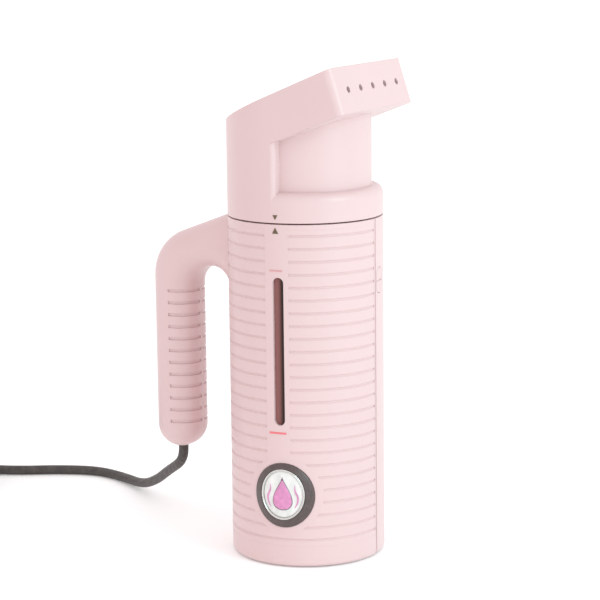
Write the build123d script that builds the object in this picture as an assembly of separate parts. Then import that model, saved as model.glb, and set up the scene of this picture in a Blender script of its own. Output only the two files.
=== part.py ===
"""Handheld garment steamer: grooved two-part housing with a handle, and a lift-off spout head.

Frame, in millimetres: the origin is on the body's axis in the plane that the feet stand on,
+Z is up, +X points out of the spout, -X to the handle and -Y to the side with the window.
Angles round the body are measured from +X towards -Y.
"""
from build123d import *
import os
from math import atan2, cos, degrees, radians, sin, sqrt, tan

# ---------------------------------------------------------------- driving dimensions
BODY_R = 42.0            # outer radius of the body and of the head's base ring
WALL = 2.5               # moulded wall of housing and head
FOOT_PROUD = 0.8         # how far the feet stand below the housing
BODY_TOP = 186.1         # top edge of the housing
SEAM_GAP = 0.8           # open gap between housing and head
EDGE_R = 2.2             # rounding of the housing's bottom edge
FIT = 0.3                # clearance of pieces that drop into place
TOUCH = 0.05             # clearance of pieces that are pressed into place

# ring grooves
GROOVE_COUNT = 25
GROOVE_PITCH = 6.85
GROOVE_TOP_Z = 180.1
GROOVE_WIDTH = 1.6
GROOVE_DEPTH = 0.6
PANEL_DROP = 0.05        # how far the grooved panels lie below the smooth bands
FRONT_PANEL = (2.0, 74.5)        # grooved sectors, in degrees from +X
BACK_PANEL = (93.0, 150.0)
FAR_PANEL = (-27.0, -150.0)

# handle
HANDLE_REACH = 24.8      # finger room between body and grip
HANDLE_HALF = 13.4       # half thickness of the grip
HANDLE_FLAT = 1.4        # least half width of the flat between its roundings
ARM_ROUND = 12.0         # largest rounding that the arm's height has room for
HOLLOW_ROUND = 8.0       # rounding of its hollow
HANDLE_BOTTOM = 49.2
HANDLE_TOP_DROP = 0.2    # how far the arm's top starts below the housing's top
ARM_SLOPE = 20.7         # degrees that the arm's top falls towards the grip
BEND_R = 27.0            # outer bend
ARCH_R = 11.0            # arch over the fingers
ARCH_TOP = 154.0
GRIP_GROOVES = 12
GRIP_GROOVE_TOP = 140.2
GRIP_GROOVE_PITCH = 6.78

# window and marks
WINDOW_ANGLE = 82.5
WINDOW_WIDTH = 6.0
WINDOW_LOW = 78.3
WINDOW_HIGH = 158.0
WINDOW_RECESS = 2.0
LENS_THICK = 1.4
LENS_FLANGE = 1.5        # how far the lens reaches behind the wall, each way
MARK_ANGLE = 84.0
MARK_PROUD = 0.2
MAX_MARK_Z = 161.7
MIN_MARK_Z = 74.2
ARROW_SIZE = 3.4

# badge
BADGE_ANGLE = 80.2
BADGE_Z = 40.2
BADGE_SIZE = (16.6, 17.7)          # half width and half height, a slight oval
BADGE_RAISED = (12.2, 14.0)        # the same of the raised middle
BADGE_OFFSET = (0.0, 0.9)          # the middle stands a little off the oval's centre
BADGE_RIM = 1.0          # width of the bright rim
BADGE_SEAT = 1.0         # depth of its pocket
BADGE_EDGE = 0.7         # height of the ring at its outer edge
BADGE_HEIGHT = 2.4       # height of the rim above the body
PAD_R = 21.0             # smooth pad round the badge

# seam clip
CLIP_LOW = 145.2
CLIP_HIGH = 159.1
CLIP_ANGLES = (-2.0, -12.5)
CLIP_DEPTH = 1.2

# head
RING_HEIGHT = 15.5
RING_ROUND = 4.5
NECK_R = 36.0
STEP_X = 4.1             # where the full-width back of the head ends
ROOF_SLOPE = 22.5
SPOUT_REACH = (37.3, 44.9)       # how far forward the spout face's top and low edges are
SPOUT_RISE = (81.5, 58.0)        # how high they stand above the head's lower edge
UNDER_RISE = 42.3        # the same for the arm's underside at the step
NECK_RISE = 59.1         # the same for the neck's end inside the arm
SPOUT_ROUND = 4.5
HOLE_COUNT = 5
HOLE_PITCH = 14.1
HOLE_R = 1.75

# tank, seal and lock
TANK_R = 34.5
TANK_WALL = 2.0
TANK_FLOOR_Z = 22.0
TANK_FLOOR = 2.5
LEDGE_DROP = 21.6        # from the housing's top to the underside of the tank's ledge
LEDGE_THICK = 2.5
LEDGE_R = 35.6
RIM_THICK = 2.5
SEAL_THICK = 2.5
SEAL_WIDTH = 4.2
LOCK_R = 30.6            # sleeve of the head's lock collar
LOCK_WALL = 4.0
LOCK_GAP = 0.4           # running clearance in the bayonet ring
LUG_COUNT = 3
LUG_PROUD = 3.0
LUG_THICK = 3.5
LUG_HALF = 7.0           # half width of a lug, degrees
LUG_PLAY = 3.0           # play of a lug in its slot, degrees
TWIST = 25.0             # turn from open to locked, degrees
LUG_DROP = 13.1          # from the housing's top to the underside of the lugs
FLANGE_THICK = 2.5

# base
BASE_THICK = 2.6
BASE_SCREW_PCD = 72.0
BOSS_R = 3.4
SCREW_R = 1.2
HEAD_R = 2.6             # screw heads
FOOT_R = 5.0
FOOT_PCD = 56.0

# mains lead
CORD_R = 2.8
COIL_CENTRE = (-277.0, 2.0)
COIL_MID_R = 32.2        # mean radius of the turns
COIL_COLUMNS = 3
COIL_LAYERS = 4
TIE_THICK = 1.2
TIE_WIDTH = 9.0
PLUG_LENGTH = 30.0
PLUG_WIDTH = 22.0
PLUG_THICK = 14.0
BLADE_LENGTH = 17.0
BLADE_PITCH = 12.7

# ---------------------------------------------------------------- sizes that follow
INNER_R = BODY_R - WALL
HANDLE_X = -(BODY_R + HANDLE_REACH + HANDLE_HALF)        # axis of the grip
HANDLE_ROUND = min(HANDLE_HALF - HANDLE_FLAT, ARM_ROUND)
HEAD_LOW = BODY_TOP + SEAM_GAP
LEDGE_Z = BODY_TOP - LEDGE_DROP
LUG_LOW = BODY_TOP - LUG_DROP
SPOUT_TOP = (SPOUT_REACH[0], HEAD_LOW + SPOUT_RISE[0])
SPOUT_LOW = (SPOUT_REACH[1], HEAD_LOW + SPOUT_RISE[1])
UNDER_START_Z = HEAD_LOW + UNDER_RISE
NECK_TOP = HEAD_LOW + NECK_RISE
RING_TOP = HEAD_LOW + RING_HEIGHT
RIM_Z = LEDGE_Z + LEDGE_THICK
BAYONET_Z = RIM_Z + RIM_THICK
BAYONET_TOP = HEAD_LOW - SEAL_THICK
BORE_R = LOCK_R + LOCK_GAP
SLOT_R = LOCK_R + LUG_PROUD + 0.5
SEAL_IN_R = SLOT_R + 0.3
BASE_TOP = FOOT_PROUD + BASE_THICK
ROOF_TAN = tan(radians(ROOF_SLOPE))
COIL_HALF = COIL_COLUMNS * CORD_R
COIL_OUT_R = COIL_MID_R + COIL_HALF
COIL_HEIGHT = 2 * CORD_R * COIL_LAYERS
COIL_TOP = TIE_THICK + COIL_HEIGHT
COIL_START_R = COIL_OUT_R - CORD_R
PLUG_Z = PLUG_THICK / 2

# free route of the lead: from the handle's end to the coil, and from the coil to the plug
LEAD_ROUTE = [
    (HANDLE_X, 0.0, HANDLE_BOTTOM + 0.4),
    (HANDLE_X, 0.0, 45.0),
    (-82.0, 1.2, 40.6),
    (-86.0, 4.3, 36.6),
    (-93.5, 10.8, 32.0),
    (-105.0, 21.0, 25.2),
    (-121.0, 36.0, 15.0),
    (-143.0, 54.0, 4.6),
    (-168.0, 69.5, CORD_R),
    (-190.0, 75.0, CORD_R),
    (-214.0, 66.5, CORD_R),
    (-236.0, 53.0, CORD_R),
    (-257.0, 45.5, CORD_R + 0.4),
    (COIL_CENTRE[0], COIL_CENTRE[1] + COIL_START_R, TIE_THICK + CORD_R),
]
TAIL_ROUTE = [
    (COIL_CENTRE[0], COIL_CENTRE[1] + COIL_START_R, COIL_TOP - CORD_R),
    (-298.0, 41.5, 19.0),
    (-316.0, 36.0, 15.0),
    (-329.0, 23.0, 11.0),
    (-336.0, 4.0, PLUG_Z),
    (-336.0, -14.0, PLUG_Z),
]

os.makedirs("parts", exist_ok=True)


# ---------------------------------------------------------------- small helpers
def save(name, shape):
    export_step(shape, f"parts/{name}.step")


def rod(radius, low, high, x=0.0, y=0.0):
    """Upright cylinder between two heights."""
    base = Cylinder(radius, high - low, align=(Align.CENTER, Align.CENTER, Align.MIN))
    return Pos(x, y, low) * base


def tube(outer, inner, low, high, x=0.0, y=0.0):
    return rod(outer, low, high, x, y) - rod(inner, low - 1, high + 1, x, y)


def block(x, y, z):
    """Box from three (low, high) pairs."""
    size = (x[1] - x[0], y[1] - y[0], z[1] - z[0])
    return Pos(x[0], y[0], z[0]) * Box(*size, align=(Align.MIN, Align.MIN, Align.MIN))


def cross_rod(radius, low_y, high_y, x, z):
    """Cylinder along Y between two places."""
    base = Cylinder(radius, high_y - low_y, align=(Align.CENTER, Align.CENTER, Align.MIN))
    return Pos(x, low_y, z) * Rot(-90, 0, 0) * base


def at_angle(angle, radius, z=0.0):
    """Plane on the body whose normal points outwards, with its own Y up."""
    a = -radians(angle)
    normal = Vector(cos(a), sin(a), 0)
    across = Vector(-sin(a), cos(a), 0)
    return Plane(origin=(radius * cos(a), radius * sin(a), z), x_dir=across, z_dir=normal)


def wrapped(sketch, angle, z, inner, outer):
    """A flat outline pushed through the body's wall and trimmed to a curved skin."""
    plane = at_angle(angle, inner - 6, z)
    prism = extrude(plane * sketch, amount=outer - inner + 12)
    skin = tube(outer, inner, z - 60, z + 60)
    return prism & skin


def sector(start, end, low, high, reach=200.0):
    """Wedge round the axis between two angles, as a cutting tool."""
    steps = max(2, int(abs(end - start) / 20) + 1)
    ring = [(0.0, 0.0)]
    for i in range(steps + 1):
        a = -radians(start + (end - start) * i / steps)
        ring.append((reach * cos(a), reach * sin(a)))
    face = make_face(Polyline(*ring, close=True))
    return Pos(0, 0, low) * extrude(face, amount=high - low)


def edge_at(shape, x=None, y=None, z=None, slack=0.6, low=None, high=None):
    """Edges whose centre lies at the given place."""
    found = ShapeList()
    for edge in shape.edges():
        c = edge.center(CenterOf.BOUNDING_BOX)
        good = x is None or abs(c.X - x) < slack
        good = good and (y is None or abs(abs(c.Y) - y) < slack)
        good = good and (z is None or abs(c.Z - z) < slack)
        good = good and (low is None or c.Z > low) and (high is None or c.Z < high)
        if good:
            found.append(edge)
    return found


def bend_radii(points, share=0.45):
    """Radius of the arc at each inner point of a route."""
    radii = []
    for a, b, c in zip(points, points[1:], points[2:]):
        first = Vector(*b) - Vector(*a)
        second = Vector(*c) - Vector(*b)
        half = radians(first.get_angle(second)) / 2
        radii.append(share * min(first.length, second.length) / tan(half))
    return radii


def hose(points, radius, radii=None):
    """Round tube along straight runs joined by tangent arcs."""
    radii = radii or bend_radii(points)
    path = FilletPolyline(*[Vector(*p) for p in points], radius=radii)
    start = path @ 0
    section = Plane(origin=start, z_dir=path % 0) * Circle(radius)
    solid = sweep(section, path=path)
    return solid, path.length


# ---------------------------------------------------------------- handle
def arm_top(x):
    start = BODY_TOP - HANDLE_TOP_DROP
    return start + (x + BODY_R) * tan(radians(ARM_SLOPE))


def handle_face(inset):
    """Side outline of the handle, inset by a wall."""
    half = HANDLE_HALF - inset
    left, right = HANDLE_X - half, HANDLE_X + half
    bend = BEND_R - inset
    arch = ARCH_R + inset
    centre_x = HANDLE_X - HANDLE_HALF + BEND_R
    lean = radians(ARM_SLOPE)
    drop = inset / cos(lean)
    centre_z = arm_top(centre_x) - BEND_R / cos(lean)
    high = (centre_x - bend * sin(lean), centre_z + bend * cos(lean))
    mid = radians(180 - (90 - ARM_SLOPE) / 2)
    outer_mid = (centre_x + bend * cos(mid), centre_z + bend * sin(mid))
    arch_x = HANDLE_X + HANDLE_HALF + ARCH_R
    arch_z = ARCH_TOP - ARCH_R
    arch_end = -INNER_R + 4.0
    arch_depth = sqrt(arch ** 2 - min(arch - 0.01, arch_end - arch_x) ** 2) if arch_end - arch_x < arch else 0.0
    end_z = arch_z + arch_depth
    bottom_z = HANDLE_BOTTOM + HANDLE_HALF
    slant = radians(135)
    outline = [
        Line((arch_end, end_z), (arch_end, arm_top(arch_end) - drop)),
        Line((arch_end, arm_top(arch_end) - drop), high),
        ThreePointArc(high, outer_mid, (left, centre_z)),
        Line((left, centre_z), (left, bottom_z)),
        ThreePointArc((left, bottom_z), (HANDLE_X, bottom_z - half), (right, bottom_z)),
        Line((right, bottom_z), (right, arch_z)),
        ThreePointArc(
            (right, arch_z),
            (arch_x + arch * cos(slant), arch_z + arch * sin(slant)),
            (arch_x + min(arch, arch_end - arch_x), end_z),
        ),
    ]
    if arch_end - arch_x > arch:
        outline.append(Line((arch_x + arch, arch_z), (arch_end, arch_z)))
    return Plane.XZ * make_face(Curve() + outline)


def handle_form(inset, rounding=None):
    """Handle as a solid with a rounded section."""
    if rounding is None:
        rounding = HANDLE_ROUND - inset
    half = HANDLE_HALF - inset
    solid = extrude(handle_face(inset), amount=half, both=True)
    rim = ShapeList()
    for edge in solid.edges():
        c = edge.center(CenterOf.BOUNDING_BOX)
        if abs(abs(c.Y) - half) < 0.01 and c.X < -INNER_R + 3.9:
            rim.append(edge)
    return fillet(rim, rounding)


def handle_hollow(clearance=0.0):
    return handle_form(WALL + clearance, HOLLOW_ROUND)


# ---------------------------------------------------------------- housing
def groove_z(number):
    return GROOVE_TOP_Z - number * GROOVE_PITCH


def groove_comb(start, end, first, last):
    """Ring of teeth that sinks a panel slightly and cuts its grooves."""
    half = GROOVE_WIDTH / 2
    skin = BODY_R - PANEL_DROP
    deep = BODY_R - GROOVE_DEPTH
    out = BODY_R + 2.0
    points = [(out, groove_z(first) + GROOVE_PITCH / 2), (skin, groove_z(first) + GROOVE_PITCH / 2)]
    for number in range(first, last + 1):
        z = groove_z(number)
        points += [(skin, z + half), (deep, z + 0.2), (deep, z - 0.2), (skin, z - half)]
    points += [(skin, groove_z(last) - GROOVE_PITCH / 2), (out, groove_z(last) - GROOVE_PITCH / 2)]
    profile = make_face(Polyline(*points, close=True))
    solid = revolve(Plane.XZ * profile, axis=Axis.Z, revolution_arc=abs(end - start))
    return Rot(0, 0, -max(start, end)) * solid


def body_grooves():
    """Grooved panels, left out at the window band and round the badge."""
    pad = extrude(at_angle(BADGE_ANGLE, BODY_R - 8, BADGE_Z) * Circle(PAD_R), amount=20)
    last = GROOVE_COUNT - 1
    front = groove_comb(*FRONT_PANEL, 0, last - 1) - pad
    back = groove_comb(*BACK_PANEL, 0, last - 1) - pad
    far = groove_comb(*FAR_PANEL, 0, last)
    lowest = groove_comb(FRONT_PANEL[0], BACK_PANEL[1], last, last)
    return [front, back, far, lowest]


def grip_grooves():
    """Grooves on the finger side of the grip, on both flanks."""
    shell = handle_form(0) - handle_form(GROOVE_DEPTH)
    cuts = []
    for i in range(GRIP_GROOVES):
        z = GRIP_GROOVE_TOP - i * GRIP_GROOVE_PITCH
        half = GROOVE_WIDTH / 2
        for side in (-1, 1):
            ends = sorted((side * 1.0, side * 20.0))
            slab = block((HANDLE_X, HANDLE_X + 20), ends, (z - half, z + half))
            cuts += (slab & shell).solids()
    return cuts


def base_points():
    r = BASE_SCREW_PCD / 2
    return [(r * cos(radians(a)), r * sin(radians(a))) for a in (45, 135, 225, 315)]


def joint_points():
    """x, z of the screws that hold the two halves together."""
    x = HANDLE_X + 6.6
    return [(x, 122.0), (x, 78.0), (-52.0, 170.5)]


def closed_housing():
    """Both halves as one hollow shell."""
    body = rod(BODY_R, FOOT_PROUD, BODY_TOP)
    body = fillet(body.edges().group_by(Axis.Z)[0], EDGE_R)
    hollow = rod(INNER_R, FOOT_PROUD - 1, BODY_TOP + 1)
    outside = body + handle_form(0)
    shell = outside - hollow - handle_hollow()
    ledge = tube(INNER_R + 0.6, LEDGE_R, LEDGE_Z, LEDGE_Z + LEDGE_THICK)
    shell = shell + ledge
    for x, y in base_points():
        shell = shell + (rod(BOSS_R, BASE_TOP, 16.0, x, y) & rod(INNER_R + 0.5, 0, 20))
    for x, z in joint_points():
        shell = shell + (cross_rod(BOSS_R - 0.4, -HANDLE_HALF, HANDLE_HALF, x, z) & handle_form(0.5))
    shell = shell - cord_hole() - window_hole() - badge_pocket()
    for x, y in base_points():
        shell = shell - rod(SCREW_R, BASE_TOP - 1, 14.0, x, y)
    return shell


def cord_hole():
    return rod(CORD_R + 0.35, HANDLE_BOTTOM - 2, HANDLE_BOTTOM + 8, HANDLE_X)


def window_outline(grow):
    width = WINDOW_WIDTH + 2 * grow
    length = WINDOW_HIGH - WINDOW_LOW + 2 * grow
    return Rot(0, 0, 90) * SlotOverall(length, width)


def window_z():
    return (WINDOW_LOW + WINDOW_HIGH) / 2


def window_hole():
    return wrapped(window_outline(0), WINDOW_ANGLE, window_z(), INNER_R - 2, BODY_R + 2)


def badge_pocket():
    outline = Ellipse(BADGE_SIZE[0] + TOUCH, BADGE_SIZE[1] + TOUCH)
    return wrapped(outline, BADGE_ANGLE, BADGE_Z, BODY_R - BADGE_SEAT, BODY_R + 4)


def clip_outline(grow):
    width = radians(abs(CLIP_ANGLES[1] - CLIP_ANGLES[0])) * BODY_R + 2 * grow
    length = CLIP_HIGH - CLIP_LOW + 2 * grow
    return Rot(0, 0, 90) * SlotOverall(length, width)


def clip_place(outline, inner, outer):
    middle = sum(CLIP_ANGLES) / 2
    return wrapped(outline, middle, (CLIP_LOW + CLIP_HIGH) / 2, inner, outer)


def seam_groove():
    """Fine V along the front, where the halves meet."""
    size = 0.6
    deep = BODY_R - 1.0
    profile = make_face(Polyline(
        (BODY_R + 0.3, -size), (BODY_R + 0.3, size), (deep, 0.3), (deep, -0.3), close=True))
    return Pos(0, 0, -1) * extrude(profile, amount=BODY_TOP + 2)


def housing_half(shell, side):
    keep = block((-140, 60), sorted((0, side * 60)), (-2, 260))
    half = shell & keep
    if side > 0:
        half = half - clip_place(clip_outline(0.25), BODY_R - CLIP_DEPTH, BODY_R + 3)
    for x, z in joint_points():
        if side > 0:
            half = half - cross_rod(SCREW_R + 0.25, -1, 20, x, z)
            half = half - cross_rod(HEAD_R + 0.2, 9.0, 20, x, z)
        else:
            half = half - cross_rod(SCREW_R, -9.0, 1, x, z)
    solids = sorted(half.solids(), key=lambda s: s.volume)
    return solids[-1]


def housing_screws():
    screws = []
    for x, z in joint_points():
        shank = cross_rod(SCREW_R - TOUCH, -7.5, 7.0, x, z)
        neck = cross_rod(SCREW_R, 6.9, 9.0, x, z)
        top = cross_rod(HEAD_R, 9.0, 10.8, x, z)
        slot = block((x - 0.4, x + 0.4), (10.1, 12), (z - 1.9, z + 1.9))
        slot = slot + block((x - 1.9, x + 1.9), (10.1, 12), (z - 0.4, z + 0.4))
        screws.append(shank + neck + top - slot)
    return Compound(children=screws)


# ---------------------------------------------------------------- small outer pieces
def sight_window():
    front = BODY_R - WINDOW_RECESS
    lens = wrapped(window_outline(-TOUCH), WINDOW_ANGLE, window_z(), INNER_R - 0.4, front)
    flange = wrapped(window_outline(LENS_FLANGE), WINDOW_ANGLE, window_z(),
                     INNER_R - LENS_THICK, INNER_R - TOUCH)
    return (lens + flange).solids()[0]


def bar_mark(z, width, height):
    return wrapped(Rectangle(width, height), MARK_ANGLE, z, BODY_R, BODY_R + MARK_PROUD)


def arrow(z, size, up):
    s = size * (1 if up else -1)
    outline = make_face(Polyline((-size / 2, -s * 0.42), (size / 2, -s * 0.42), (0, s * 0.5), close=True))
    return wrapped(outline, MARK_ANGLE, z, BODY_R, BODY_R + MARK_PROUD)


def badge_oval(less=0.0):
    """Outline of the badge's raised middle, less an inset."""
    return Pos(*BADGE_OFFSET) * Ellipse(BADGE_RAISED[0] - less, BADGE_RAISED[1] - less)


def badge_bezel():
    seat = BODY_R - BADGE_SEAT
    plane = at_angle(BADGE_ANGLE, 0, BADGE_Z)
    ring = wrapped(Ellipse(*BADGE_SIZE), BADGE_ANGLE, BADGE_Z, seat, BODY_R + BADGE_EDGE)
    cone = extrude(plane * badge_oval(-1.4), amount=BODY_R + 10)
    crown = tube(BODY_R + BADGE_HEIGHT - 0.7, seat, BADGE_Z - 40, BADGE_Z + 40) & cone
    hole = extrude(plane * badge_oval(), amount=BODY_R + 12)
    return (ring + crown - hole).solids()[0]


def badge_rim():
    ring = wrapped(badge_oval(TOUCH) - badge_oval(TOUCH + BADGE_RIM), BADGE_ANGLE, BADGE_Z,
                   BODY_R - BADGE_SEAT, BODY_R + BADGE_HEIGHT)
    return ring.solids()[0]


def badge_face():
    return wrapped(badge_oval(BADGE_RIM + 2 * TOUCH), BADGE_ANGLE, BADGE_Z,
                   BODY_R - BADGE_SEAT, BODY_R + BADGE_HEIGHT - 0.4).solids()[0]


def badge_emblem():
    """Water drop, raised on the badge's face."""
    drop = make_face(Curve() + [
        ThreePointArc((-4.6, -2.2), (0, -6.8), (4.6, -2.2)),
        ThreePointArc((4.6, -2.2), (3.2, 2.0), (0, 7.6)),
        ThreePointArc((0, 7.6), (-3.2, 2.0), (-4.6, -2.2)),
    ])
    level = BODY_R + BADGE_HEIGHT - 0.4
    return wrapped(drop, BADGE_ANGLE, BADGE_Z, level, level + 0.35).solids()[0]


def seam_clip():
    plate = clip_place(clip_outline(0), BODY_R - CLIP_DEPTH, BODY_R)
    middle = (CLIP_LOW + CLIP_HIGH) / 2
    cut = tube(BODY_R + 1, BODY_R - 0.4, middle - 0.3, middle + 0.3)
    return (plate - cut).solids()[0]


# ---------------------------------------------------------------- base
def base_plate():
    plate = rod(INNER_R - FIT, FOOT_PROUD, BASE_TOP)
    for x, y in base_points():
        plate = plate - rod(SCREW_R + 0.3, 0, BASE_TOP + 1, x, y)
        plate = plate - rod(HEAD_R + 0.2, 0, FOOT_PROUD + 1.4, x, y)
    for x, y in foot_points():
        plate = plate - rod(FOOT_R + TOUCH, 0, FOOT_PROUD + 1.0, x, y)
    return plate


def foot_points():
    r = FOOT_PCD / 2
    return [(0.0, 0.0)] + [(r * cos(radians(a)), r * sin(radians(a))) for a in (0, 90, 180, 270)]


def rubber_feet():
    feet = []
    for x, y in foot_points():
        foot = rod(FOOT_R, 0, FOOT_PROUD + 1.0, x, y)
        feet.append(chamfer(foot.edges().group_by(Axis.Z)[0], 0.4))
    return Compound(children=feet)


def base_screws():
    screws = []
    low = FOOT_PROUD + 0.1
    for x, y in base_points():
        top = rod(HEAD_R, low, FOOT_PROUD + 1.4, x, y)
        shank = rod(SCREW_R - TOUCH, FOOT_PROUD + 1.4, 12.5, x, y)
        slot = block((x - 0.4, x + 0.4), (y - 1.9, y + 1.9), (0, low + 0.6))
        slot = slot + block((x - 1.9, x + 1.9), (y - 0.4, y + 0.4), (0, low + 0.6))
        screws.append(top + shank - slot)
    return Compound(children=screws)


# ---------------------------------------------------------------- tank and heater
ELEMENT_R = 3.1
ELEMENT_LOOP = 18.0
ELEMENT_Z = 33.0
ELEMENT_LOW = 15.0       # lower end of its legs
ELEMENT_LEG_ANGLE = 25.0
NUT_R = 5.6
NUT_THICK = 3.6


def leg_points():
    a = radians(180 - ELEMENT_LEG_ANGLE)
    return [(ELEMENT_LOOP * cos(a), side * ELEMENT_LOOP * sin(a)) for side in (-1, 1)]


def water_tank():
    body = rod(TANK_R, TANK_FLOOR_Z, RIM_Z + RIM_THICK)
    body = fillet(body.edges().group_by(Axis.Z)[0], 2.0)
    rim = rod(INNER_R - FIT, RIM_Z, RIM_Z + RIM_THICK)
    hollow = rod(TANK_R - TANK_WALL, TANK_FLOOR_Z + TANK_FLOOR, RIM_Z + RIM_THICK + 1)
    tank = body + rim - hollow
    for x, y in leg_points():
        tank = tank - rod(ELEMENT_R + TOUCH, TANK_FLOOR_Z - 1, TANK_FLOOR_Z + 5, x, y)
    return tank


def tank_cradle():
    low = BASE_TOP
    ring = tube(31.0, 28.4, low, TANK_FLOOR_Z)
    seat = tube(TANK_R - 2.2, 28.4, TANK_FLOOR_Z - 2.0, TANK_FLOOR_Z)
    cradle = ring + seat
    cradle = cradle - block((-40, 0), (-8, 8), (low + 2.0, TANK_FLOOR_Z - 5.0))
    return cradle


def bayonet_ring():
    """Fixed collar: three upright slots, each with a leg to lock in."""
    ring = tube(INNER_R - FIT, BORE_R, BAYONET_Z, BAYONET_TOP)
    slot_low = LUG_LOW - 1.0
    leg_high = LUG_LOW + LUG_THICK + 1.0
    half = LUG_HALF + LUG_PLAY
    cutter = rod(SLOT_R, slot_low, BAYONET_TOP + 1)
    for i in range(LUG_COUNT):
        a = 360.0 * i / LUG_COUNT
        down = cutter & sector(a - half, a + half, slot_low, BAYONET_TOP + 1)
        leg = rod(SLOT_R, slot_low, leg_high) & sector(
            a + half - 1, a - half - TWIST, slot_low, leg_high)
        ring = ring - down - leg
    return ring


def head_seal():
    return tube(SEAL_IN_R + SEAL_WIDTH, SEAL_IN_R, BAYONET_TOP, HEAD_LOW)


def heating_element():
    a = 180 - ELEMENT_LEG_ANGLE
    loop = revolve(Plane.XZ * Pos(ELEMENT_LOOP, ELEMENT_Z) * Circle(ELEMENT_R), axis=Axis.Z,
                   revolution_arc=2 * a)
    element = Rot(0, 0, -a) * loop
    for x, y in leg_points():
        element = element + Pos(x, y, ELEMENT_Z) * Sphere(ELEMENT_R)
        element = element + rod(ELEMENT_R, ELEMENT_LOW, ELEMENT_Z, x, y)
    return element


def element_seals():
    top = TANK_FLOOR_Z + TANK_FLOOR
    rings = [tube(NUT_R, ELEMENT_R + TOUCH, top, top + 1.6, x, y) for x, y in leg_points()]
    return Compound(children=rings)


def element_nuts():
    nuts = []
    for x, y in leg_points():
        hexagon = Plane.XY * RegularPolygon(NUT_R, 6)
        nut = Pos(x, y, TANK_FLOOR_Z - NUT_THICK) * extrude(hexagon, amount=NUT_THICK)
        nuts.append(nut - rod(ELEMENT_R + TOUCH, 0, 40, x, y))
    return Compound(children=nuts)


def thermostat():
    cup = rod(8.0, TANK_FLOOR_Z - 6.0, TANK_FLOOR_Z, 10.0, 0.0)
    cup = fillet(cup.edges().group_by(Axis.Z)[0], 1.0)
    stem = rod(5.0, TANK_FLOOR_Z - 9.0, TANK_FLOOR_Z - 6.0, 10.0, 0.0)
    tabs = block((8.0, 12.0), (-11.0, 11.0), (TANK_FLOOR_Z - 8.0, TANK_FLOOR_Z - 7.0))
    return cup + stem + tabs


def thermal_fuse():
    body = cross_rod(2.0, -7.0, 7.0, -4.0, TANK_FLOOR_Z - 2.0)
    ends = cross_rod(0.6, -11.0, 11.0, -4.0, TANK_FLOOR_Z - 2.0)
    return body + ends


# ---------------------------------------------------------------- inside the handle
BLOCK_LOW = 100.0
BLOCK_HIGH = 114.0
SLEEVE_LOW = HANDLE_BOTTOM + 0.4
SLEEVE_HIGH = SLEEVE_LOW + 24.0
CLAMP_LOW = 88.0
CLAMP_HIGH = 95.0
WIRE_R = 1.1
WIRE_SIDE = 3.2


def inner_cord():
    return rod(CORD_R, SLEEVE_LOW, BLOCK_LOW, HANDLE_X)


def cord_strain_relief():
    """Tapered rubber sleeve, pressed into the end of the handle."""
    low = HANDLE_BOTTOM + 8.0
    sleeve = Pos(HANDLE_X, 0, low) * Cone(5.4, 3.9, SLEEVE_HIGH - low,
                                          align=(Align.CENTER, Align.CENTER, Align.MIN))
    collar = rod(6.4, low, low + 2.5, HANDLE_X)
    return sleeve + collar - rod(CORD_R + TOUCH, 0, SLEEVE_HIGH + 1, HANDLE_X)


def cord_clamp():
    half = HANDLE_HALF - WALL - 0.2
    bar = block((HANDLE_X - 5.0, HANDLE_X + 4.0), (-half, half), (CLAMP_LOW, CLAMP_HIGH))
    return bar & handle_hollow(0.1) - rod(CORD_R + TOUCH, 0, 200, HANDLE_X)


def terminal_block():
    half = HANDLE_HALF - WALL - 0.2
    body = block((HANDLE_X - 5.0, HANDLE_X + 3.4), (-half, half), (BLOCK_LOW, BLOCK_HIGH))
    body = body & handle_hollow(0.1)
    for side in (-1, 1):
        screw = Pos(HANDLE_X - 5.0, side * 4.6, (BLOCK_LOW + BLOCK_HIGH) / 2) * Rot(0, 90, 0)
        body = body - screw * Cylinder(1.6, 3.0)
    return body


def lead_wires():
    """Two insulated wires from the terminal block, over the arm and down behind the tank."""
    wires = []
    gap_r = (TANK_R + INNER_R) / 2
    leg_x, leg_y = leg_points()[1]
    for side in (-1, 1):
        y = side * WIRE_SIDE
        route = [
            (HANDLE_X, y, BLOCK_HIGH),
            (HANDLE_X, y, 140.0),
            (-74.0, y, 155.0),
            (-60.0, y, 161.5),
            (-44.0, y, 162.0),
            (-gap_r, y, 152.0),
            (-gap_r + 0.1, y, 90.0),
            (-gap_r, y, 24.0),
            (-30.0, y, 10.0),
            (-22.0, side * 5.0, 7.5),
            (leg_x, side * leg_y, 7.6),
            (leg_x, side * leg_y, ELEMENT_LOW),
        ]
        wires.append(hose(route, WIRE_R)[0])
    return Compound(children=wires)


# ---------------------------------------------------------------- head
def side_face(inset):
    """Side outline of the head's back and spout arm, inset by a wall."""
    back = -60.0
    roof_back = SPOUT_TOP[1] - (SPOUT_TOP[0] - back) * ROOF_TAN
    outline = Polyline(
        (back, HEAD_LOW), (STEP_X, HEAD_LOW), (STEP_X, UNDER_START_Z), SPOUT_LOW, SPOUT_TOP,
        (back, roof_back), close=True)
    face = make_face(outline)
    if inset:
        face = offset(face, amount=-inset, kind=Kind.INTERSECTION)
    return Plane.XZ * face


def plan_form(radius, low, high):
    """Round at the back, straight-sided in front."""
    straight = block((0, 80), (-radius, radius), (low, high))
    return rod(radius, low, high) + straight


def head_form(inset):
    """Back and arm of the head, with the neck under the arm."""
    radius = BODY_R - inset
    upper = plan_form(radius, HEAD_LOW - 1, SPOUT_TOP[1] + 10) & extrude(side_face(inset), amount=60, both=True)
    if not inset:
        upper = round_arm(upper)
    front = block((0, 60), (-60, 60), (HEAD_LOW, NECK_TOP))
    neck = rod(NECK_R - inset, HEAD_LOW, NECK_TOP) & front
    return upper + neck


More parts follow.
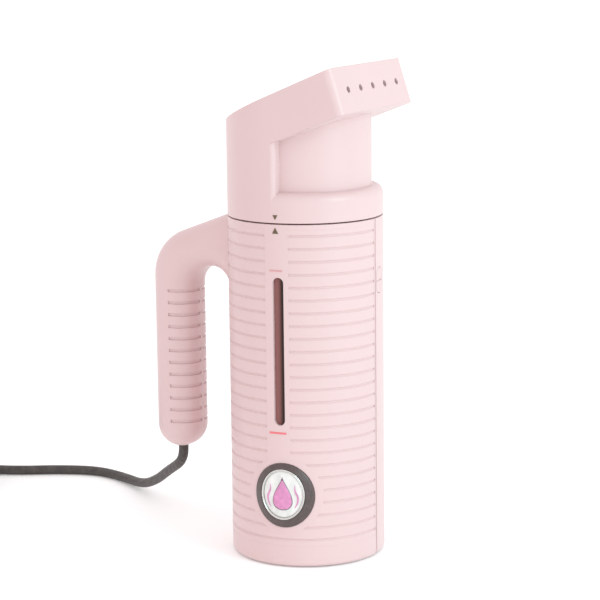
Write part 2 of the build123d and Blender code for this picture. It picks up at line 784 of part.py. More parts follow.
def round_arm(arm):
    """Rounded edges of the arm, the roof and the step."""
    mid_z = (SPOUT_TOP[1] + SPOUT_LOW[1]) / 2
    corners = edge_at(arm, y=BODY_R, z=mid_z, slack=2.0)
    corners = ShapeList([e for e in corners if e.center().X > 30])
    arm = fillet(corners, SPOUT_ROUND)
    step = ShapeList()
    for edge in arm.edges():
        box = edge.bounding_box()
        upright = box.size.Z > 20 and box.size.X < 0.1 and box.size.Y < 0.1
        if upright and abs(edge.center().X - STEP_X) < 0.5:
            step.append(edge)
    return fillet(step, 2.5)


def steam_head_shell():
    shell = head_form(0)
    ring = rod(BODY_R, HEAD_LOW, RING_TOP)
    ring = fillet(ring.edges().group_by(Axis.Z)[-1], RING_ROUND)
    shell = shell + ring
    cavity = head_form(WALL) + rod(INNER_R, HEAD_LOW - 2, RING_TOP - WALL - 1.5)
    shell = shell - cavity
    for x, y in collar_points():
        boss = rod(3.0, HEAD_LOW + FLANGE_THICK, RING_TOP - WALL, x, y)
        shell = shell + boss
    for x, y in collar_points():
        shell = shell - rod(SCREW_R, HEAD_LOW, RING_TOP - WALL - 3.0, x, y)
    for hole in spout_holes():
        shell = shell - hole
    solids = sorted(shell.solids(), key=lambda s: s.volume)
    return solids[-1]


def spout_holes():
    """Steam holes in the spout's face, square to it."""
    mid_x = (SPOUT_TOP[0] + SPOUT_LOW[0]) / 2
    mid_z = (SPOUT_TOP[1] + SPOUT_LOW[1]) / 2
    lean = degrees(atan2(SPOUT_LOW[0] - SPOUT_TOP[0], SPOUT_TOP[1] - SPOUT_LOW[1]))
    drills = []
    for i in range(HOLE_COUNT):
        y = (i - (HOLE_COUNT - 1) / 2) * HOLE_PITCH
        place = Pos(mid_x, y, mid_z) * Rot(0, 90 - lean, 0)
        drills.append(place * Cylinder(HOLE_R, 3 * WALL))
    return drills


def collar_points():
    r = INNER_R - 4.2
    return [(r * cos(radians(a)), r * sin(radians(a))) for a in (60, 180, 300)]


def head_lock_collar():
    """Flange in the head's foot, with a sleeve and three lugs that turn in the bayonet ring."""
    inner = LOCK_R - LOCK_WALL
    flange = tube(INNER_R - FIT, inner, HEAD_LOW, HEAD_LOW + FLANGE_THICK)
    sleeve = tube(LOCK_R, inner, LUG_LOW, HEAD_LOW + 1)
    collar = flange + sleeve
    lug_ring = tube(LOCK_R + LUG_PROUD, inner + 1, LUG_LOW, LUG_LOW + LUG_THICK)
    for i in range(LUG_COUNT):
        a = 360.0 * i / LUG_COUNT
        collar = collar + (lug_ring & sector(a - LUG_HALF, a + LUG_HALF, LUG_LOW - 1, LUG_LOW + 9))
    for x, y in collar_points():
        collar = collar - rod(SCREW_R + 0.3, 0, 300, x, y)
        collar = collar - rod(HEAD_R + 0.2, 0, HEAD_LOW + 1.3, x, y)
    return collar.solids()[0]


def collar_screws():
    screws = []
    for x, y in collar_points():
        top = rod(HEAD_R, HEAD_LOW + 0.2, HEAD_LOW + 1.3, x, y)
        shank = rod(SCREW_R - TOUCH, HEAD_LOW + 1.3, RING_TOP - WALL - 4.0, x, y)
        screws.append(top + shank)
    return Compound(children=screws)


def splash_baffle():
    """Disc on three posts over the lock collar: it stops drops, and steam goes round it."""
    low = HEAD_LOW + FLANGE_THICK
    reach = LOCK_R - LOCK_WALL + 1.8
    baffle = rod(reach + 2.4, low + 4.0, low + 5.4)
    for i in range(3):
        a = radians(120 * i + 30)
        baffle = baffle + rod(1.4, low, low + 4.4, reach * cos(a), reach * sin(a))
    return baffle


# ---------------------------------------------------------------- mains lead
def power_cord():
    lead, lead_length = hose(LEAD_ROUTE, CORD_R)
    tail, tail_length = hose(TAIL_ROUTE, CORD_R)
    area = 3.14159265 * CORD_R ** 2
    for name, route, solid, length in (
        ("lead", LEAD_ROUTE, lead, lead_length), ("tail", TAIL_ROUTE, tail, tail_length)):
        print(name, "radii", [round(r, 1) for r in bend_radii(route)])
        print(name, "length", round(length, 1), "volume ratio", round(solid.volume / (area * length), 5))
    turns = COIL_COLUMNS * COIL_LAYERS
    wound = turns * 2 * 3.14159265 * COIL_MID_R
    print("whole lead, m", round((lead_length + tail_length + wound) / 1000, 3))
    return Compound(children=[lead, tail])


def cord_coil():
    x, y = COIL_CENTRE
    inner = COIL_MID_R - COIL_HALF
    coil = tube(COIL_OUT_R, inner, TIE_THICK, COIL_TOP, x, y)
    return fillet(coil.edges(), CORD_R - 0.3)


def cord_tie():
    """Strap round the bundle of turns."""
    x, y = COIL_CENTRE
    mid = -COIL_MID_R
    half = COIL_HALF + TIE_THICK
    strap = block((x + mid - half, x + mid + half), (y - TIE_WIDTH / 2, y + TIE_WIDTH / 2),
                  (0, COIL_TOP + TIE_THICK))
    strap = fillet(strap.edges().filter_by(Axis.Y), 3.0)
    inner = COIL_MID_R - COIL_HALF
    return strap - tube(COIL_OUT_R, inner, TIE_THICK, COIL_TOP, x, y)


def plug_body():
    x, y, z = TAIL_ROUTE[-1]
    neck = Plane(origin=(x, y, z), x_dir=(1, 0, 0), z_dir=(0, -1, 0))
    back = neck * Circle(4.2)
    front = neck.offset(12) * RectangleRounded(PLUG_WIDTH - 4, PLUG_THICK - 3, 4.5)
    taper = loft([back, front])
    shoulder = extrude(neck.offset(12) * RectangleRounded(PLUG_WIDTH, PLUG_THICK, 5.0),
                       amount=PLUG_LENGTH - 12)
    return taper + shoulder


def plug_blades():
    x, y, z = TAIL_ROUTE[-1]
    face = y - PLUG_LENGTH
    blades = []
    for side, height in ((-1, 6.3), (1, 7.9)):
        middle = x + side * BLADE_PITCH / 2
        blade = block((middle - 0.75, middle + 0.75), (face - BLADE_LENGTH, face),
                      (z - height / 2, z + height / 2))
        blade = chamfer(blade.faces().sort_by(Axis.Y)[0].edges(), 0.5)
        blades.append(blade - Pos(middle, face - 13.0, z) * Rot(0, 90, 0) * Cylinder(1.5, 6))
    return Compound(children=blades)


# ---------------------------------------------------------------- build
def build():
    shell = closed_housing() - seam_groove()
    shell = shell - body_grooves() - grip_grooves()
    save("right_housing", housing_half(shell, -1))
    save("left_housing", housing_half(shell, 1))
    save("max_mark", bar_mark(MAX_MARK_Z, 7.0, 0.8))
    save("min_mark", bar_mark(MIN_MARK_Z, 9.6, 1.0))
    save("body_arrow", arrow(BODY_TOP - 3.3, ARROW_SIZE, True))
    save("head_arrow", arrow(HEAD_LOW + 3.1, 0.8 * ARROW_SIZE, False))
    for piece in (
        housing_screws, sight_window, badge_bezel, badge_rim, badge_face, badge_emblem, seam_clip,
        base_plate, rubber_feet, base_screws, water_tank, tank_cradle, bayonet_ring, head_seal,
        heating_element, element_seals, element_nuts, thermostat, thermal_fuse, inner_cord,
        cord_strain_relief, cord_clamp, terminal_block, lead_wires, steam_head_shell,
        head_lock_collar, collar_screws, splash_baffle, power_cord, cord_coil, cord_tie,
        plug_body, plug_blades,
    ):
        save(piece.__name__, piece())


build()
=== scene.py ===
import math
import bpy
import bmesh
from mathutils import Matrix, Vector


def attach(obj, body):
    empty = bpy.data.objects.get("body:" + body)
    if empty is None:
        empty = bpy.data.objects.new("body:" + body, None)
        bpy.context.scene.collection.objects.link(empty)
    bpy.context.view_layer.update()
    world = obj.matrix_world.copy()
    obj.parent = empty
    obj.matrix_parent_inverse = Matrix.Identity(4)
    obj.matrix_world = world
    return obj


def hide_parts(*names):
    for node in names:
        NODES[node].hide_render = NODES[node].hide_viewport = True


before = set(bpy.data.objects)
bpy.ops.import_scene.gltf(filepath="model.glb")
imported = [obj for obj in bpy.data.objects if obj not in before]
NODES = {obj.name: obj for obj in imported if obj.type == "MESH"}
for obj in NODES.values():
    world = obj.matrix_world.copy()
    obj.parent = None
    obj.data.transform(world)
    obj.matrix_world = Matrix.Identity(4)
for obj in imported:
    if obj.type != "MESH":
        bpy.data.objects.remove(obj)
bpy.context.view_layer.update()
HOUSING = "housing_body"
MM = 0.001

# ------------------------------------------------------------ sizes shared with the CAD, in mm
BODY_R = 42.0
BADGE_ANGLE = 80.2
BADGE_Z = 40.2
BADGE_SIZE = (16.6, 17.7)
BADGE_RAISED = (12.2, 14.0)
BADGE_OFFSET = (0.0, 0.9)
WINDOW_ANGLE = 82.5

# ------------------------------------------------------------ camera and light, metres and degrees
CAMERA_PLACE = (0.5392, -1.0044, 0.3485)
CAMERA_TURN = 28.4
CAMERA_DIP = 10.42
CAMERA_ROLL = -0.66
CAMERA_LENS = 127.8
KEY_PLACE = (1.5, -0.35, 0.75)
KEY_TARGET = (0.0, 0.0, 0.13)
KEY_SIZE = (0.7, 1.0)
KEY_POWER = 10.2
KEY_COLOR = (0.62, 1.0, 1.0)
WORLD_COLOR = (1.0, 0.965, 0.968)
WORLD_STRENGTH = 1.08
FLOOR_HALF = 20.0        # half width of the floor
FLOOR_GLOW = 0.14        # lifts the floor to the white of the backdrop


def make_camera():
    """Stands where the photograph was taken from: to the right of the front, a little above."""
    data = bpy.data.cameras.new("camera")
    data.lens = CAMERA_LENS
    data.sensor_width = 36.0
    data.clip_end = 60.0
    camera = bpy.data.objects.new("camera", data)
    bpy.context.scene.collection.objects.link(camera)
    turn = Matrix.Rotation(math.radians(CAMERA_TURN), 4, "Z")
    tilt = Matrix.Rotation(math.radians(90.0 - CAMERA_DIP), 4, "X")
    roll = Matrix.Rotation(math.radians(CAMERA_ROLL), 4, "Z")
    camera.matrix_world = Matrix.Translation(CAMERA_PLACE) @ turn @ tilt @ roll
    bpy.context.scene.camera = camera


make_camera()


# ------------------------------------------------------------ node materials
class Shader:
    """One node material with a Principled shader, built step by step."""

    def __init__(self, name, color, roughness, metallic=0.0, **extra):
        self.material = bpy.data.materials.new(name)
        self.material.use_nodes = True
        self.tree = self.material.node_tree
        self.main = self.tree.nodes["Principled BSDF"]
        self.main.inputs["Base Color"].default_value = (*color, 1)
        self.main.inputs["Roughness"].default_value = roughness
        self.main.inputs["Metallic"].default_value = metallic
        for key, value in extra.items():
            self.main.inputs[key.replace("_", " ")].default_value = value
        self.normal = None

    def node(self, kind, **values):
        made = self.tree.nodes.new(kind)
        for key, value in values.items():
            if key in made.inputs:
                made.inputs[key].default_value = value
            else:
                setattr(made, key, value)
        return made

    def link(self, source, out, target, into):
        self.tree.links.new(source.outputs[out], target.inputs[into])

    def coordinates(self, kind="Object", scale=(1, 1, 1)):
        place = self.node("ShaderNodeTexCoord")
        mapping = self.node("ShaderNodeMapping")
        mapping.inputs["Scale"].default_value = scale
        self.link(place, kind, mapping, "Vector")
        return mapping

    def noise(self, scale, detail=4.0, roughness=0.5, stretch=(1, 1, 1)):
        made = self.node("ShaderNodeTexNoise", Scale=scale, Detail=detail, Roughness=roughness)
        self.link(self.coordinates(scale=stretch), "Vector", made, "Vector")
        return made

    def ramp(self, source, out, stops):
        made = self.node("ShaderNodeValToRGB")
        points = made.color_ramp.elements
        while len(points) < len(stops):
            points.new(0.5)
        for point, (place, value) in zip(points, stops):
            point.position = place
            point.color = (*value, 1) if isinstance(value, tuple) else (value, value, value, 1)
        self.link(source, out, made, "Fac")
        return made

    def vary_color(self, source, out, low, high, low_at=0.3, high_at=0.7):
        made = self.ramp(source, out, [(low_at, low), (high_at, high)])
        self.link(made, "Color", self.main, "Base Color")
        return made

    def vary_roughness(self, source, out, low, high):
        made = self.node("ShaderNodeMapRange")
        made.inputs["To Min"].default_value = low
        made.inputs["To Max"].default_value = high
        self.link(source, out, made, "Value")
        self.link(made, "Result", self.main, "Roughness")

    def soften(self, radius):
        """Rounds the shading of sharp edges."""
        made = self.node("ShaderNodeBevel", Radius=radius)
        made.samples = 6
        self.normal = (made, "Normal")

    def bump(self, source, out, strength, distance):
        made = self.node("ShaderNodeBump", Strength=strength, Distance=distance)
        self.link(source, out, made, "Height")
        if self.normal:
            self.link(*self.normal, made, "Normal")
        self.normal = (made, "Normal")

    def done(self):
        if self.normal:
            self.link(*self.normal, self.main, "Normal")
        return self.material


def moulded(name, color, roughness, grain=0.05, soft=0.0004, spread=0.03, **extra):
    """Injection-moulded plastic: fine grain, slight flow marks, uneven gloss."""
    s = Shader(name, color, roughness, **extra)
    flow = s.noise(9.0, 3.0, 0.5, (1, 1, 0.4))
    low = tuple(c * (1 - spread) for c in color)
    high = tuple(min(1.0, c * (1 + spread)) for c in color)
    s.vary_color(flow, "Fac", low, high)
    gloss = s.noise(140.0, 5.0, 0.6)
    s.vary_roughness(gloss, "Fac", roughness - 0.05, roughness + 0.05)
    s.soften(soft)
    fine = s.noise(2600.0, 2.0, 0.6)
    s.bump(fine, "Fac", grain, 0.0002)
    wave = s.noise(30.0, 2.0, 0.4)
    s.bump(wave, "Fac", 0.12, 0.0006)
    return s.done()


PINK = (0.69, 0.50, 0.505)
mat_shell = moulded("pink_shell", PINK, 0.40, Coat_Weight=0.15, Coat_Roughness=0.25,
                    Sheen_Weight=0.12, Sheen_Roughness=0.4)
mat_base = moulded("pink_base", tuple(c * 0.94 for c in PINK), 0.5)
mat_clip = moulded("pink_clip", PINK, 0.38, soft=0.0002)
mat_tank = moulded("tank_plastic", (0.72, 0.70, 0.66), 0.35)
# the collar and seal colours are partly painted shade: a dark mauve standing in for pink light bouncing
# into the shaded seam gap
mat_collar = moulded("collar_plastic", (0.50, 0.20, 0.24), 0.42)
mat_block = moulded("block_plastic", (0.70, 0.68, 0.60), 0.5)
mat_silicone = moulded("seal_silicone", (0.34, 0.09, 0.12), 0.55, grain=0.1)


LENS_HALF = 0.003        # half width of the window, in metres


def smoked_lens_painted_shade():
    """Smoked plastic with painted shade across it: the mauve of a shaded slot wall on one side,
    deepening to a painted black shadow towards the other edge.
    """
    s = Shader("smoked_window", (0.16, 0.055, 0.058), 0.16, Specular_IOR_Level=0.25)
    place = s.node("ShaderNodeTexCoord")
    a = -math.radians(WINDOW_ANGLE)
    across = s.node("ShaderNodeVectorMath", operation="DOT_PRODUCT")
    across.inputs[1].default_value = (-math.sin(a), math.cos(a), 0.0)
    s.link(place, "Object", across, 0)
    spread = s.node("ShaderNodeMapRange")
    spread.inputs["From Min"].default_value = -LENS_HALF
    spread.inputs["From Max"].default_value = LENS_HALF
    s.link(across, "Value", spread, "Value")
    # painted shade: mauve of a shaded slot wall, darkening to a painted black shadow towards one edge
    painted_shade_ramp = s.ramp(spread, "Result", [
        (0.1, (0.30, 0.125, 0.12)),
        (0.45, (0.22, 0.088, 0.08)),
        (0.62, (0.10, 0.036, 0.03)),
        (0.74, (0.022, 0.010, 0.008)),
        (1.0, (0.02, 0.009, 0.007)),
    ])
    haze = s.noise(60.0, 4.0, 0.6, (1, 1, 0.15))
    blend = s.node("ShaderNodeMix", data_type="RGBA", blend_type="MULTIPLY")
    blend.inputs["Factor"].default_value = 0.35
    s.link(painted_shade_ramp, "Color", blend, 6)
    s.link(s.ramp(haze, "Fac", [(0.3, 0.75), (0.7, 1.0)]), "Color", blend, 7)
    s.link(blend, 2, s.main, "Base Color")
    s.vary_roughness(haze, "Fac", 0.14, 0.26)
    s.soften(0.0002)
    return s.done()


def printed(name, color):
    """Ink printed on the shell, a little uneven."""
    s = Shader(name, color, 0.5)
    patch = s.noise(1800.0, 4.0, 0.7)
    s.vary_color(patch, "Fac", color, tuple(min(1.0, c * 1.5 + 0.02) for c in color))
    s.bump(patch, "Fac", 0.1, 0.0001)
    return s.done()


def metal(name, color, roughness, scale=900.0):
    """Bare or plated metal with fine upright brushing."""
    s = Shader(name, color, roughness, 1.0)
    brush = s.noise(scale, 3.0, 0.7, (1, 1, 8))
    low = tuple(c * 0.88 for c in color)
    high = tuple(min(1, c * 1.06) for c in color)
    s.vary_color(brush, "Fac", low, high)
    s.vary_roughness(brush, "Fac", max(0.03, roughness - 0.08), roughness + 0.1)
    s.soften(0.0002)
    s.bump(brush, "Fac", 0.08, 0.0001)
    return s.done()


def rubber(name, color, roughness=0.62, grain=0.25):
    """Dull rubber with a little dust."""
    s = Shader(name, color, roughness)
    dust = s.noise(220.0, 5.0, 0.65)
    s.vary_color(dust, "Fac", tuple(c * 0.8 for c in color), tuple(c * 1.35 for c in color))
    s.vary_roughness(dust, "Fac", roughness - 0.1, roughness + 0.1)
    fine = s.noise(3200.0, 3.0, 0.6)
    s.bump(fine, "Fac", grain, 0.0002)
    return s.done()


def cord_jacket():
    """Rubber jacket over twisted cores, which show as slight slanting ridges."""
    s = Shader("cord_rubber", (0.052, 0.044, 0.04), 0.5)
    dust = s.noise(260.0, 5.0, 0.65)
    s.vary_color(dust, "Fac", (0.036, 0.031, 0.029), (0.085, 0.072, 0.066))
    s.vary_roughness(dust, "Fac", 0.42, 0.62)
    place = s.coordinates("UV", (230.0, 1.9, 1.0))
    twist = s.node("ShaderNodeTexWave", Scale=1.0, Distortion=0.6, Detail=1.0)
    twist.bands_direction = "DIAGONAL"
    s.link(place, "Vector", twist, "Vector")
    s.bump(twist, "Fac", 0.35, 0.0006)
    fine = s.noise(3000.0, 2.0, 0.6)
    s.bump(fine, "Fac", 0.2, 0.0002)
    return s.done()


def pearl():
    """Clouded white of the badge's face, under a clear coat."""
    s = Shader("badge_white", (0.80, 0.78, 0.75), 0.22, Coat_Weight=0.6, Coat_Roughness=0.08)
    cloud = s.noise(240.0, 4.0, 0.6, (1, 1, 0.5))
    s.vary_color(cloud, "Fac", (0.66, 0.65, 0.63), (0.86, 0.84, 0.82))
    s.vary_roughness(cloud, "Fac", 0.18, 0.32)
    s.bump(cloud, "Fac", 0.15, 0.0003)
    return s.done()


def enamel(name, color):
    """Glossy coloured filling."""
    s = Shader(name, color, 0.25, Coat_Weight=0.5, Coat_Roughness=0.06)
    shade = s.noise(420.0, 3.0, 0.5)
    low = tuple(c * 0.86 for c in color)
    high = tuple(min(1, c * 1.12) for c in color)
    s.vary_color(shade, "Fac", low, high)
    s.bump(shade, "Fac", 0.08, 0.0002)
    return s.done()


def badge_paint():
    """Worn dark paint of the badge's ring."""
    s = Shader("badge_grey", (0.07, 0.045, 0.043), 0.34, Coat_Weight=0.3, Coat_Roughness=0.2)
    wear = s.noise(500.0, 5.0, 0.7)
    s.vary_color(wear, "Fac", (0.052, 0.034, 0.033), (0.098, 0.064, 0.062))
    s.vary_roughness(wear, "Fac", 0.28, 0.5)
    s.soften(0.0003)
    s.bump(wear, "Fac", 0.15, 0.0002)
    return s.done()


def woven_tie():
    """Hook-and-loop strap round the wound lead."""
    s = Shader("tie_plastic", (0.045, 0.045, 0.048), 0.7, Sheen_Weight=0.4)
    hook = s.noise(1500.0, 3.0, 0.8)
    s.vary_color(hook, "Fac", (0.028, 0.028, 0.03), (0.09, 0.09, 0.095))
    s.bump(hook, "Fac", 0.6, 0.0004)
    return s.done()


mat_lens_painted_shade = smoked_lens_painted_shade()
mat_grey_mark = printed("grey_mark", (0.50, 0.25, 0.26))
mat_red_mark = printed("red_mark", (0.62, 0.13, 0.15))
mat_arrow = printed("bronze_mark", (0.09, 0.058, 0.026))
mat_badge = badge_paint()
mat_silver = metal("badge_silver", (0.74, 0.73, 0.71), 0.22, scale=700.0)
mat_face = pearl()
mat_enamel = enamel("badge_pink", (0.66, 0.24, 0.46))
mat_outline = enamel("emblem_outline", (0.20, 0.16, 0.19))
mat_steel = metal("screw_steel", (0.62, 0.61, 0.60), 0.30)
mat_element = metal("element_metal", (0.42, 0.40, 0.38), 0.4)
mat_brass = metal("brass", (0.78, 0.56, 0.24), 0.25)
mat_thermostat = metal("thermostat_metal", (0.70, 0.70, 0.71), 0.28)
mat_feet = rubber("black_rubber", (0.03, 0.03, 0.03))
mat_cord = cord_jacket()
mat_plug = rubber("plug_rubber", (0.05, 0.044, 0.04), 0.5, 0.15)
mat_wire = rubber("wire_jacket", (0.10, 0.10, 0.10), 0.45, 0.1)
mat_tie = woven_tie()

FINISHES = {
    "right_housing": mat_shell, "left_housing": mat_shell, "steam_head_shell": mat_shell,
    "seam_clip": mat_clip, "base_plate": mat_base, "sight_window": mat_lens_painted_shade,
    "max_mark": mat_grey_mark, "min_mark": mat_red_mark, "body_arrow": mat_arrow,
    "head_arrow": mat_arrow, "badge_bezel": mat_badge, "badge_rim": mat_silver,
    "badge_face": mat_face, "badge_emblem": mat_enamel, "housing_screws": mat_steel,
    "base_screws": mat_steel, "collar_screws": mat_steel, "rubber_feet": mat_feet,
    "cord_strain_relief": mat_feet, "power_cord": mat_cord, "cord_coil": mat_cord,
    "inner_cord": mat_cord, "plug_body": mat_plug, "cord_tie": mat_tie,
    "head_seal": mat_silicone, "element_seals": mat_silicone, "water_tank": mat_tank,
    "tank_cradle": mat_tank, "bayonet_ring": mat_collar, "head_lock_collar": mat_collar,
    "splash_baffle": mat_collar, "heating_element": mat_element, "element_nuts": mat_brass,
    "plug_blades": mat_brass, "thermostat": mat_thermostat, "thermal_fuse": mat_thermostat,
    "terminal_block": mat_block, "cord_clamp": mat_block, "lead_wires": mat_wire,
}
for name, finish in FINISHES.items():
    slots = NODES[name].data.materials
    slots.clear()
    slots.append(finish)


# ------------------------------------------------------------ mains lead
# in metres; the routes are control points of the lead's centre line, from the handle's end to
# the coil and from the coil to the plug
CORD_R = 0.0028
LEAD_ROUTE = [
    (-0.0802, 0.0, 0.0496), (-0.0802, 0.0, 0.045), (-0.082, 0.0012, 0.0406),
    (-0.086, 0.0043, 0.0366), (-0.0935, 0.0108, 0.032), (-0.105, 0.021, 0.0252),
    (-0.121, 0.036, 0.015),
    (-0.143, 0.054, 0.0046), (-0.168, 0.0695, 0.0028), (-0.190, 0.075, 0.0028),
    (-0.214, 0.0665, 0.0028), (-0.236, 0.053, 0.0028), (-0.257, 0.0455, 0.0032),
    (-0.277, 0.0398, 0.004),
]
TAIL_ROUTE = [
    (-0.277, 0.0398, 0.0208), (-0.298, 0.0415, 0.019), (-0.316, 0.036, 0.015),
    (-0.329, 0.023, 0.011), (-0.336, 0.004, 0.007), (-0.336, -0.014, 0.007),
]
COIL_CENTRE = (-0.277, 0.002)
COIL_RADII = (0.0378, 0.0322, 0.0266)
COIL_LAYERS = (0.004, 0.0096, 0.0152, 0.0208)
TURN_POINTS = 16
CHANGE_FROM = 0.72       # share of a turn after which the line moves over to the next turn
CHANGE_BULGE = 0.0021    # how far it swings out where it climbs to the next layer


def coil_places():
    """Radius and height of each turn: every second layer is wound outwards."""
    places = []
    for layer, height in enumerate(COIL_LAYERS):
        radii = COIL_RADII if layer % 2 == 0 else COIL_RADII[::-1]
        places += [(radius, height) for radius in radii]
    return places


def coil_points():
    """Control points of the wound turns, a little outside the turns so that the line runs on them."""
    places = coil_places()
    places.append(places[-1])
    outside = 1 / (0.75 + 0.25 * math.cos(2 * math.pi / TURN_POINTS))
    points = []
    for turn in range(len(places) - 1):
        (radius, height), (next_radius, next_height) = places[turn], places[turn + 1]
        for step in range(TURN_POINTS):
            share = max(0.0, (step / TURN_POINTS - CHANGE_FROM) / (1 - CHANGE_FROM))
            r = radius + (next_radius - radius) * share
            z = height + (next_height - height) * share
            if next_height != height:
                side = 1 if radius > COIL_RADII[1] else -1
                r += side * CHANGE_BULGE * math.sin(math.pi * share)
            angle = math.radians(90 + 360 * step / TURN_POINTS)
            points.append((COIL_CENTRE[0] + r * outside * math.cos(angle),
                           COIL_CENTRE[1] + r * outside * math.sin(angle), z))
    return points[1:]


def round_line(name, places, radius, steps, finish, widths=None):
    """Smooth line of round section along a row of control points, each with its share of the radius."""
    curve = bpy.data.curves.new(name, "CURVE")
    curve.dimensions = "3D"
    spline = curve.splines.new("NURBS")
    spline.points.add(len(places) - 1)
    for i, point in enumerate(spline.points):
        point.co = (*places[i], 1)
        if widths:
            point.radius = widths[i]
    spline.order_u = 3
    spline.use_endpoint_u = True
    spline.resolution_u = steps
    curve.bevel_depth = radius
    curve.bevel_resolution = steps
    curve.use_fill_caps = True
    curve.materials.append(finish)
    line = bpy.data.objects.new(name, curve)
    bpy.context.scene.collection.objects.link(line)
    return line


def make_cord():
    cord = round_line("mains_lead", LEAD_ROUTE + coil_points() + TAIL_ROUTE, CORD_R, 6, mat_cord)
    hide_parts("power_cord", "cord_coil")
    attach(cord, HOUSING)


make_cord()


# ------------------------------------------------------------ meshes
def add_mesh(name, verts, faces, finish):
    """Smooth-shaded mesh piece on the housing, with its faces turned outwards."""
    mesh = bpy.data.meshes.new(name)
    mesh.from_pydata([tuple(v) for v in verts], [], faces)
    mesh.validate()
    made = bmesh.new()
    made.from_mesh(mesh)
    bmesh.ops.recalc_face_normals(made, faces=made.faces)
    made.to_mesh(mesh)
    made.free()
    for face in mesh.polygons:
        face.use_smooth = True
    mesh.materials.append(finish)
    obj = bpy.data.objects.new(name, mesh)
    bpy.context.scene.collection.objects.link(obj)
    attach(obj, HOUSING)
    return obj


def on_body(across, up, height):
    """Point over the round body: mm across and up from the badge's middle, and mm above the skin."""
    a = -math.radians(BADGE_ANGLE)
    out = math.sqrt((BODY_R + height) ** 2 - across ** 2)
    x = out * math.cos(a) - across * math.sin(a)
    y = out * math.sin(a) + across * math.cos(a)
    return Vector((x, y, BADGE_Z + up)) * MM


def badge_edge(outwards, turn):
    """Point of an oval round the badge: 0 is the raised middle's edge and 1 the badge's own edge.

    Below 0 it goes inwards from the middle's edge, in mm.
    """
    share = max(0.0, min(1.0, outwards))
    less = -min(0.0, outwards)
    half = [BADGE_RAISED[i] + (BADGE_SIZE[i] - BADGE_RAISED[i]) * share - less for i in (0, 1)]
    middle = [BADGE_OFFSET[i] * (1 - share) for i in (0, 1)]
    return middle[0] + half[0] * math.cos(turn), middle[1] + half[1] * math.sin(turn)


def turned_ring(name, profile, finish, segments=160, hollow=True):
    """Profile of (outwards, height) taken round the badge and bent to the body."""
    verts, faces = [], []
    count = len(profile)
    for i in range(segments):
        turn = 2 * math.pi * i / segments
        for outwards, height in profile:
            verts.append(on_body(*badge_edge(outwards, turn), height))
    for i in range(segments):
        j = (i + 1) % segments
        for k in range(count if hollow else count - 1):
            m = (k + 1) % count
            faces.append((i * count + k, j * count + k, j * count + m, i * count + m))
    if not hollow:
        faces.append(tuple(i * count for i in range(segments)))
        faces.append(tuple(i * count + count - 1 for i in range(segments)))
    return add_mesh(name, verts, faces, finish)


def make_badge():
    bezel = turned_ring("badge_ring", [
        (0.995, -0.95), (0.995, 0.1), (0.98, 0.4), (0.93, 0.66), (0.85, 0.86), (0.7, 1.12),
        (0.5, 1.5), (0.3, 1.9), (0.16, 2.14), (0.08, 2.2), (0.02, 2.12), (0.0, 1.9), (0.0, -0.95),
    ], mat_badge)
    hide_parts("badge_bezel")
    rim = turned_ring("badge_beads", [
        (-0.06, -0.95), (-0.06, 2.0), (-0.14, 2.3), (-0.34, 2.46), (-0.54, 2.3), (-0.62, 2.05),
        (-0.72, 2.05), (-0.8, 2.2), (-0.96, 2.3), (-1.1, 2.2), (-1.16, 1.9), (-1.16, -0.95),
    ], mat_silver)
    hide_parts("badge_rim")
    face = turned_ring("badge_disc", [
        (-10.5, 1.84), (-8.0, 1.84), (-5.0, 1.82), (-3.0, 1.8), (-2.0, 1.72), (-1.5, 1.62), (-1.2, 1.4),
        (-1.2, -0.95),
    ], mat_face, hollow=False)
    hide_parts("badge_face")


make_badge()


# the emblem, in mm from its own middle
EMBLEM_LOWER = 0.6       # how far its middle lies below that of the badge's face
FACE_HEIGHT = 1.8        # of the badge's face above the body
DROP = (7.6, -7.6, 9.4)          # fullness, low end and high end of the drop
DROP_LINE = (8.1, -8.1, 10.1)    # the same for the dark line round it
WISP_LOW = -6.6
WISP_TALL = 12.4
WISP_R = 0.5


def raised_shape(name, outline, height, bevel, finish):
    """Filled outline on the badge's face, with a rounded edge. Its points run anticlockwise."""
    count = len(outline)

    def inset(amount):
        ring = []
        for i in range(count):
            here = Vector(outline[i])
            side = Vector(outline[(i + 1) % count]) - Vector(outline[i - 1])
            normal = Vector((-side.y, side.x)).normalized()
            ring.append(here + normal * amount)
        return ring

    rings = [
        (inset(0), FACE_HEIGHT - 0.25),
        (inset(0), FACE_HEIGHT + height * 0.45),
        (inset(bevel * 0.3), FACE_HEIGHT + height * 0.8),
        (inset(bevel), FACE_HEIGHT + height),
    ]
    verts, faces = [], []
    for ring, level in rings:
        verts += [on_body(p.x, p.y, level) for p in ring]
    for r in range(len(rings) - 1):
        for i in range(count):
            j = (i + 1) % count
            faces.append((r * count + i, r * count + j, (r + 1) * count + j, (r + 1) * count + i))
    faces.append(tuple(range((len(rings) - 1) * count, len(rings) * count)))
    faces.append(tuple(range(count)))
    return add_mesh(name, verts, faces, finish)


def drop_outline(width, low, high, middle, steps=56):
    """Water drop: round below, pointed above."""
    points = []
    for i in range(steps):
        t = 2 * math.pi * i / steps
        share = (1 - math.cos(t)) / 2
        up = high - (high - low) * share
        across = -width * math.sin(t) * share ** 0.8
        points.append((middle[0] + across, middle[1] + up))
    return points


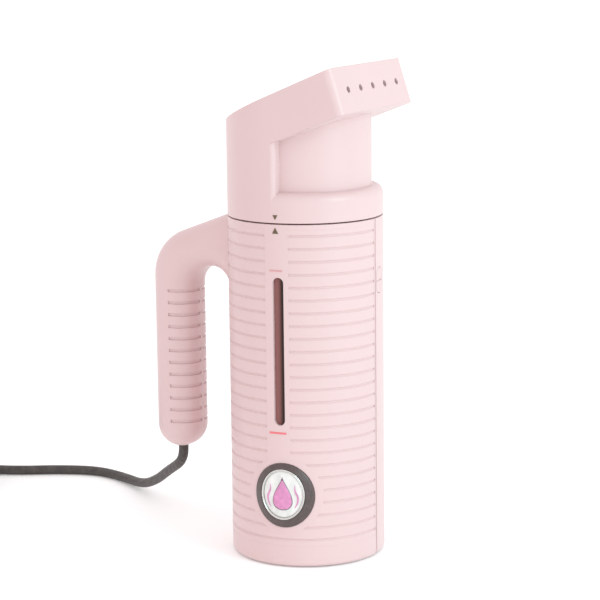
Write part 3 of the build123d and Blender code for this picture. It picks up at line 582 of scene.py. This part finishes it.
def make_wisp(name, side, middle, steps=14):
    """Wavy wisp of steam beside the drop: a line of round section, thin at both ends."""
    places, widths = [], []
    for i in range(steps + 1):
        share = i / steps
        up = WISP_LOW + WISP_TALL * share
        across = 8.5 - 0.28 * abs(up) + 0.7 * math.sin(share * 2 * math.pi)
        places.append(on_body(middle[0] + side * across, middle[1] + up, FACE_HEIGHT + 0.06))
        widths.append(0.3 + 0.7 * math.sin(math.pi * share))
    wisp = round_line(name, places, WISP_R * MM, 4, mat_enamel, widths)
    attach(wisp, HOUSING)


def make_emblem():
    middle = (BADGE_OFFSET[0], BADGE_OFFSET[1] - EMBLEM_LOWER)
    drop = raised_shape("badge_drop", drop_outline(*DROP, middle), 0.5, 0.5, mat_enamel)
    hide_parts("badge_emblem")
    raised_shape("badge_drop_line", drop_outline(*DROP_LINE, middle), 0.28, 0.15, mat_outline)
    make_wisp("badge_wisp_left", -1, middle)
    make_wisp("badge_wisp_right", 1, middle)


make_emblem()


# ------------------------------------------------------------ floor and light
def make_floor():
    s = Shader("floor_white", (0.93, 0.93, 0.93), 0.7)
    cloud = s.noise(1.5, 2.0, 0.4)
    s.vary_color(cloud, "Fac", (0.92, 0.92, 0.92), (0.94, 0.94, 0.94))
    s.main.inputs["Emission Color"].default_value = (1, 1, 1, 1)
    s.main.inputs["Emission Strength"].default_value = FLOOR_GLOW
    mesh = bpy.data.meshes.new("floor")
    half = FLOOR_HALF
    corners = [(-half, -half, 0), (half, -half, 0), (half, half, 0), (-half, half, 0)]
    mesh.from_pydata(corners, [], [(0, 1, 2, 3)])
    mesh.materials.append(s.done())
    floor = bpy.data.objects.new("floor", mesh)
    bpy.context.scene.collection.objects.link(floor)


def make_world():
    world = bpy.data.worlds.new("studio")
    world.use_nodes = True
    bpy.context.scene.world = world
    light = world.node_tree.nodes["Background"]
    light.inputs["Color"].default_value = (*WORLD_COLOR, 1)
    light.inputs["Strength"].default_value = WORLD_STRENGTH


def soft_light(name, place, target, size, power, color):
    data = bpy.data.lights.new(name, "AREA")
    data.shape = "RECTANGLE"
    data.size, data.size_y = size
    data.energy = power
    data.color = color
    light = bpy.data.objects.new(name, data)
    light.location = place
    aim = Vector(target) - Vector(place)
    light.rotation_mode = "QUATERNION"
    light.rotation_quaternion = aim.to_track_quat("-Z", "Y")
    bpy.context.scene.collection.objects.link(light)


make_floor()
make_world()
soft_light("key", KEY_PLACE, KEY_TARGET, KEY_SIZE, KEY_POWER, KEY_COLOR)
bpy.context.scene.view_settings.view_transform = "Standard"
